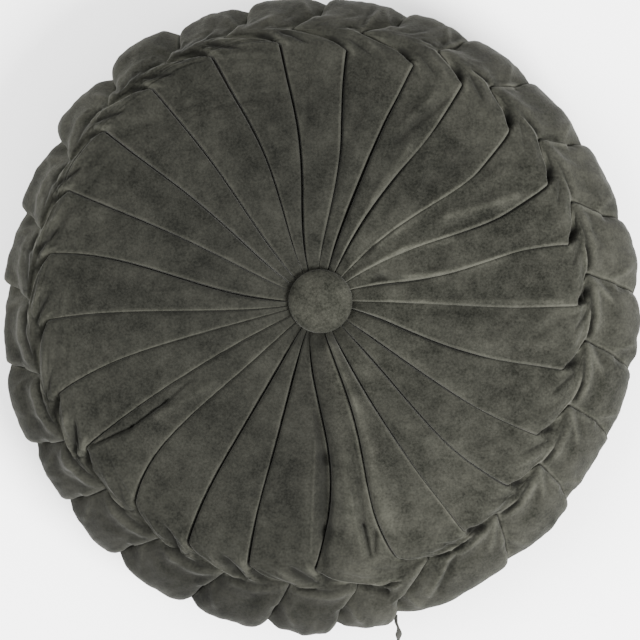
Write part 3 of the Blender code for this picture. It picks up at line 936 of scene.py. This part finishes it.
def closed_mesh(points, pile):
    """A closed mesh from a grid that goes round the cover by column and from pole to pole by row,
    with the painted highlight and shade and the painted lightness at each of its points."""
    around, rows = points.shape[:2]
    sheet = bmesh.new()
    bmesh.ops.create_grid(sheet, x_segments=around, y_segments=rows - 1, size=0.5)
    mesh = bake(sheet, "cover")
    spots = np.empty(len(mesh.vertices) * 3)
    mesh.vertices.foreach_get("co", spots)
    column = np.rint((spots[0::3] + 0.5) * around).astype(int)
    row = np.rint((0.5 - spots[1::3]) * (rows - 1)).astype(int)
    mesh.vertices.foreach_set("co", points[column % around, row].ravel())
    # Painted light: the painted lightness round the cushion, lighter still where the attribute pile
    # paints a highlight.
    light = painted_light_by_place(points) * (1 + HIGHLIGHT_LIGHTNESS * np.maximum(pile, 0))
    for name, values in (("pile", pile), ("nap", light)):
        attribute = mesh.attributes.new(name, "FLOAT", "POINT")
        attribute.data.foreach_set("value", values[column % around, row])
    loose = np.flatnonzero((column % around == 0) | (row == 0) | (row == rows - 1))
    closed = bmesh.new()
    closed.from_mesh(mesh)
    closed.verts.ensure_lookup_table()
    bmesh.ops.remove_doubles(closed, verts=[closed.verts[spot] for spot in loose], dist=1e-6)
    bmesh.ops.recalc_face_normals(closed, faces=closed.faces)
    closed.to_mesh(mesh)
    closed.free()
    return mesh


def link_piece(name, mesh, material):
    """A mesh as a piece of the object, smooth and in its material."""
    mesh.name = name
    mesh.polygons.foreach_set("use_smooth", [True] * len(mesh.polygons))
    mesh.materials.append(material)
    mesh.update()
    item = bpy.data.objects.new(name, mesh)
    bpy.context.scene.collection.objects.link(item)
    return item


def bake(shape, name):
    """A bmesh made a mesh."""
    mesh = bpy.data.meshes.new(name)
    shape.to_mesh(mesh)
    shape.free()
    return mesh


# ---------------------------------------------------------------- materials


def new_material(name):
    """An empty node material and its shader, joined to its output."""
    material = bpy.data.materials.new(name)
    material.use_nodes = True
    nodes = material.node_tree.nodes
    return material, nodes, material.node_tree.links, nodes["Principled BSDF"]


def noise_value(nodes, links, place, scale, detail, roughness):
    """Noise at a place."""
    texture = nodes.new("ShaderNodeTexNoise")
    for socket, value in (("Scale", scale), ("Detail", detail), ("Roughness", roughness)):
        texture.inputs[socket].default_value = value
    links.new(place, texture.inputs["Vector"])
    return texture.outputs["Fac"]


def ramp(nodes, links, value, low, high):
    """A value spread from low..high to 0..1."""
    spread = nodes.new("ShaderNodeMapRange")
    spread.inputs["From Min"].default_value = low
    spread.inputs["From Max"].default_value = high
    links.new(value, spread.inputs["Value"])
    return spread.outputs["Result"]


def mix_colour(nodes, links, share, first, second):
    """A colour that goes from the first to the second as the share goes from 0 to 1."""
    mixer = nodes.new("ShaderNodeMix")
    mixer.data_type = "RGBA"
    links.new(share, mixer.inputs["Factor"])
    for socket, value in (("A_Color", first), ("B_Color", second)):
        target = next(entry for entry in mixer.inputs if entry.identifier == socket)
        if isinstance(value, bpy.types.NodeSocket):
            links.new(value, target)
        else:
            target.default_value = (*value, 1.0)
    return next(entry for entry in mixer.outputs if entry.identifier == "Result_Color")


def add_bump(nodes, links, shader, height, strength, distance):
    """Fine relief, that many metres deep, on a shader."""
    bump = nodes.new("ShaderNodeBump")
    bump.inputs["Strength"].default_value = strength
    bump.inputs["Distance"].default_value = distance
    links.new(height, bump.inputs["Height"])
    links.new(bump.outputs["Normal"], shader.inputs["Normal"])


def velvet(name, cloth):
    """Velvet: clouded as its pile lies, with short hairs and a sheen, and with painted highlights and
    painted shade from the surface's own attributes, pile and painted lightness."""
    material, nodes, links, shader = new_material(name)
    place = nodes.new("ShaderNodeTexCoord").outputs["Object"]
    raised, nap = nodes.new("ShaderNodeAttribute"), nodes.new("ShaderNodeAttribute")
    raised.attribute_name, nap.attribute_name = "pile", "nap"

    def add(total, value, weight):
        """The total and a value of that weight."""
        node = nodes.new("ShaderNodeMath")
        node.operation = "MULTIPLY_ADD"
        links.new(value, node.inputs[0])
        node.inputs[1].default_value = weight
        if isinstance(total, float):
            node.inputs[2].default_value = total
        else:
            links.new(total, node.inputs[2])
        return node.outputs[0]

    value = CLOUD_START
    for cloud in CLOUDS:
        noises = noise_value(nodes, links, place, cloud.scale, cloud.detail, cloud.roughness)
        value = add(value, noises, cloud.weight)
    # Painted highlight and shade: the attribute pile moves the clouded colour up towards the raised
    # colour and down towards the pile colour.
    value = add(value, raised.outputs["Fac"], PAINTED_LIGHT_WEIGHT)
    tone_and_painted_light = ramp(nodes, links, value, 0.0, 1.0)
    # Painted light: the clouded colour is scaled by the painted lightness of each point.
    lightness = nodes.new("ShaderNodeVectorMath")
    lightness.operation = "SCALE"
    links.new(mix_colour(nodes, links, tone_and_painted_light, cloth.pile, cloth.raised), lightness.inputs[0])
    links.new(nap.outputs["Fac"], lightness.inputs["Scale"])
    # Painted shade: where the attribute pile is far down, the colour turns to the gap colour.
    deep = ramp(nodes, links, raised.outputs["Fac"], -0.2, -1.0)
    mixed = mix_colour(nodes, links, deep, lightness.outputs["Vector"], cloth.gap)
    links.new(mixed, shader.inputs["Base Color"])
    shader.inputs["Roughness"].default_value = 0.95
    shader.inputs["Specular IOR Level"].default_value = 0.1
    shader.inputs["Sheen Weight"].default_value = cloth.sheen
    shader.inputs["Sheen Roughness"].default_value = 0.4
    shader.inputs["Sheen Tint"].default_value = (0.80, 0.80, 0.74, 1.0)
    hairs = noise_value(nodes, links, place, 700.0, 3.0, 0.65)
    add_bump(nodes, links, shader, hairs, 0.6, 0.0005)
    return material


def plain(name, colour):
    """A smooth matt surface of one colour."""
    material, _nodes, _links, shader = new_material(name)
    shader.inputs["Base Color"].default_value = (*colour, 1.0)
    shader.inputs["Roughness"].default_value = 0.9
    return material


def woven(name, colour):
    """A narrow woven tape: its threads cross in fine ribs."""
    material, nodes, links, shader = new_material(name)
    place = nodes.new("ShaderNodeTexCoord").outputs["Object"]
    threads = nodes.new("ShaderNodeTexWave")
    threads.bands_direction = "DIAGONAL"
    threads.inputs["Scale"].default_value = 380.0
    threads.inputs["Distortion"].default_value = 1.5
    links.new(place, threads.inputs["Vector"])
    light = tuple(1.7 * value for value in colour)
    mixed = mix_colour(nodes, links, threads.outputs["Fac"], colour, light)
    links.new(mixed, shader.inputs["Base Color"])
    shader.inputs["Roughness"].default_value = 0.9
    add_bump(nodes, links, shader, threads.outputs["Fac"], 0.5, 0.0003)
    return material


# ---------------------------------------------------------------- buttons and tab


def button_mesh(name, side):
    """A covered button turned from its outline, its velvet gathered in fine puckers at the rim."""
    low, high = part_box(name)
    axis_x, axis_y = button_axis()
    shape = bmesh.new()
    spots = [shape.verts.new((spot.radius, 0, spot.height)) for spot in BUTTON_OUTLINE]
    edges = [shape.edges.new(pair) for pair in zip(spots[:-1], spots[1:])]
    bmesh.ops.spin(
        shape, geom=spots + edges, cent=(0, 0, 0), axis=(0, 0, 1), angle=TURN, steps=96, use_merge=True
    )
    bmesh.ops.remove_doubles(shape, verts=shape.verts, dist=1e-4)
    for vert in shape.verts:
        x, y, height = vert.co
        radius, way = math.hypot(x, y), math.atan2(y, x)
        gathered = smooth((radius - 14) / 5) * smooth((21.5 - radius) / 1.5) if height > 1 else 0.0
        pucker = math.sin(PUCKERS * way + 2.2 * math.sin(3 * way + side)) * PUCKER_HEIGHT * gathered
        soft = BUTTON_SOFTNESS * noise.noise(Vector((x, y, side * 7)) / 7)
        vert.co = (
            (axis_x + x * (1 + pucker / PUCKER_REACH)) * MM,
            (axis_y + y * (1 + pucker / PUCKER_REACH)) * MM,
            (low.z if side > 0 else high.z) + side * (height + pucker + soft * (height > 1)) * MM,
        )
    bmesh.ops.recalc_face_normals(shape, faces=shape.faces)
    mesh = bake(shape, name)
    attribute = mesh.attributes.new("nap", "FLOAT", "POINT")
    attribute.data.foreach_set("value", [BUTTON_LIGHTNESS] * len(mesh.vertices))
    return mesh


def tab_mesh():
    """The tab: a strip of tape, folded flat and twisted, narrow where it leaves the cover."""
    low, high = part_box("pull_tab")
    shape = bmesh.new()
    bmesh.ops.create_cone(shape, cap_ends=True, segments=12, radius1=1.0, radius2=1.0, depth=1.0)
    for part in range(1, TAB_CUTS):
        bmesh.ops.bisect_plane(
            shape,
            geom=shape.verts[:] + shape.edges[:] + shape.faces[:],
            plane_co=(0, 0, part / TAB_CUTS - 0.5),
            plane_no=(0, 0, 1),
        )
    along = [spot.along for spot in TAB_COURSE]
    columns = {name: [getattr(spot, name) for spot in TAB_COURSE] for name in Tape._fields}
    for vert in shape.verts:
        part = vert.co.z + 0.5
        side, rise, width, thick, turn = (
            np.interp(part, along, columns[name]) for name in Tape._fields[1:]
        )
        turn = math.radians(turn)
        flat, up = vert.co.x * width / 2, vert.co.y * thick / 2
        vert.co = (
            (low.x + high.x) / 2 + (side + flat * math.cos(turn) - up * math.sin(turn)) * MM,
            mix(high.y, low.y, part),
            (low.z + high.z) / 2 + (rise + flat * math.sin(turn) + up * math.cos(turn)) * MM,
        )
    bmesh.ops.recalc_face_normals(shape, faces=shape.faces)
    return bake(shape, "tape_tab")


# ---------------------------------------------------------------- operators


class CUSHION_OT_cover(bpy.types.Operator):
    """Makes the filled velvet cover with its pleats, plaits and puffed side band"""

    bl_idname = "cushion.cover"
    bl_label = "Cover"

    def execute(self, context):
        points, pile = cover_points(context.scene.cushion_shape)
        around, rows = COUNT * COLUMNS, points.shape[2]
        axis_x, axis_y = button_axis()
        grid = np.empty((around, rows + 2, 3))
        grid[:, 1:-1] = points.reshape(around, rows, 3)
        grid[:, 0] = np.array([axis_x, axis_y, RINGS[0].height]) * MM
        grid[:, -1] = np.array([axis_x, axis_y, RINGS[-1].height]) * MM
        # The painted highlight and shade of the attribute pile, none at the poles.
        raised = np.zeros((around, rows + 2))
        raised[:, 1:-1] = pile.reshape(around, rows)
        mesh = closed_mesh(grid, raised)
        cover = link_piece("cover", mesh, velvet("velvet", context.scene.cushion_cloth))
        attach(cover, "root")
        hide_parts("cushion_cover")
        return {"FINISHED"}


class CUSHION_OT_buttons(bpy.types.Operator):
    """Makes the covered buttons of the front and the back"""

    bl_idname = "cushion.buttons"
    bl_label = "Buttons"

    def execute(self, context):
        material = velvet("button velvet", context.scene.cushion_cloth)
        for name, side in (("front_button", 1), ("back_button", -1)):
            piece = name.replace("_button", "_covered_button")
            button = link_piece(piece, button_mesh(name, side), material)
            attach(button, "root")
            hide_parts(name)
        return {"FINISHED"}


class CUSHION_OT_tab(bpy.types.Operator):
    """Makes the limp pull tab that hangs out of the side band"""

    bl_idname = "cushion.tab"
    bl_label = "Pull tab"

    def execute(self, context):
        material = woven("tape", context.scene.cushion_cloth.tape)
        tab = link_piece("tape_tab", tab_mesh(), material)
        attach(tab, "root")
        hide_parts("pull_tab")
        return {"FINISHED"}


def add_lamp(lamp, target):
    """A soft square lamp that faces the target."""
    data = bpy.data.lights.new(lamp.name, "AREA")
    data.shape = "SQUARE"
    data.size = lamp.size
    data.energy = lamp.power
    item = bpy.data.objects.new(lamp.name, data)
    item.location = (lamp.x, lamp.y, lamp.z)
    item.rotation_euler = (target - item.location).to_track_quat("-Z", "Y").to_euler()
    bpy.context.scene.collection.objects.link(item)


class CUSHION_OT_stage(bpy.types.Operator):
    """Makes the floor, the soft lights and the camera over the face"""

    bl_idname = "cushion.stage"
    bl_label = "Stage"

    def execute(self, context):
        studio = context.scene.cushion_studio
        low, high = CAD_BOX
        middle = (low + high) / 2
        ground = bmesh.new()
        bmesh.ops.create_grid(ground, x_segments=1, y_segments=1, size=6.0)
        floor = link_piece("floor", bake(ground, "floor"), plain("floor", studio.floor))
        for lamp in LAMPS:
            add_lamp(lamp, middle)
        world = bpy.data.worlds.new("studio")
        world.use_nodes = True
        sky = world.node_tree.nodes["Background"]
        sky.inputs["Color"].default_value = (1, 1, 1, 1)
        sky.inputs["Strength"].default_value = SKY
        context.scene.world = world
        data = bpy.data.cameras.new("camera")
        data.sensor_width = 36.0
        camera = bpy.data.objects.new("camera", data)
        rim = RINGS[RIM].height * MM
        camera.location = (middle.x, middle.y + VIEW_NORTH * MM, rim + studio.distance)
        data.lens = data.sensor_width * studio.distance / VIEW_WIDTH
        data.clip_end = 50.0
        context.scene.collection.objects.link(camera)
        context.scene.camera = camera
        return {"FINISHED"}


class CUSHION_PT_sidebar(bpy.types.Panel):
    """The cushion's settings and its pieces"""

    bl_idname = "CUSHION_PT_sidebar"
    bl_label = "Round Cushion"
    bl_space_type = "VIEW_3D"
    bl_region_type = "UI"
    bl_category = "Cushion"

    def draw(self, context):
        for setting, _group in SETTINGS:
            group = getattr(context.scene, setting)
            for name in group.bl_rna.properties.keys():
                if name not in ("rna_type", "name"):
                    self.layout.prop(group, name)
        for operator in OPERATORS:
            self.layout.operator(operator.bl_idname)


SETTINGS = (
    ("cushion_shape", CushionShape),
    ("cushion_cloth", CushionCloth),
    ("cushion_studio", CushionStudio),
)
OPERATORS = (CUSHION_OT_cover, CUSHION_OT_buttons, CUSHION_OT_tab, CUSHION_OT_stage)


def register():
    for name, group in SETTINGS:
        bpy.utils.register_class(group)
        setattr(bpy.types.Scene, name, bpy.props.PointerProperty(type=group))
    for operator in OPERATORS:
        bpy.utils.register_class(operator)
    bpy.utils.register_class(CUSHION_PT_sidebar)


def unregister():
    bpy.utils.unregister_class(CUSHION_PT_sidebar)
    for operator in reversed(OPERATORS):
        bpy.utils.unregister_class(operator)
    for name, group in reversed(SETTINGS):
        delattr(bpy.types.Scene, name)
        bpy.utils.unregister_class(group)


def main():
    register()
    bpy.ops.cushion.stage()
    bpy.ops.cushion.cover()
    bpy.ops.cushion.buttons()
    bpy.ops.cushion.tab()


if __name__ == "__main__":
    main()
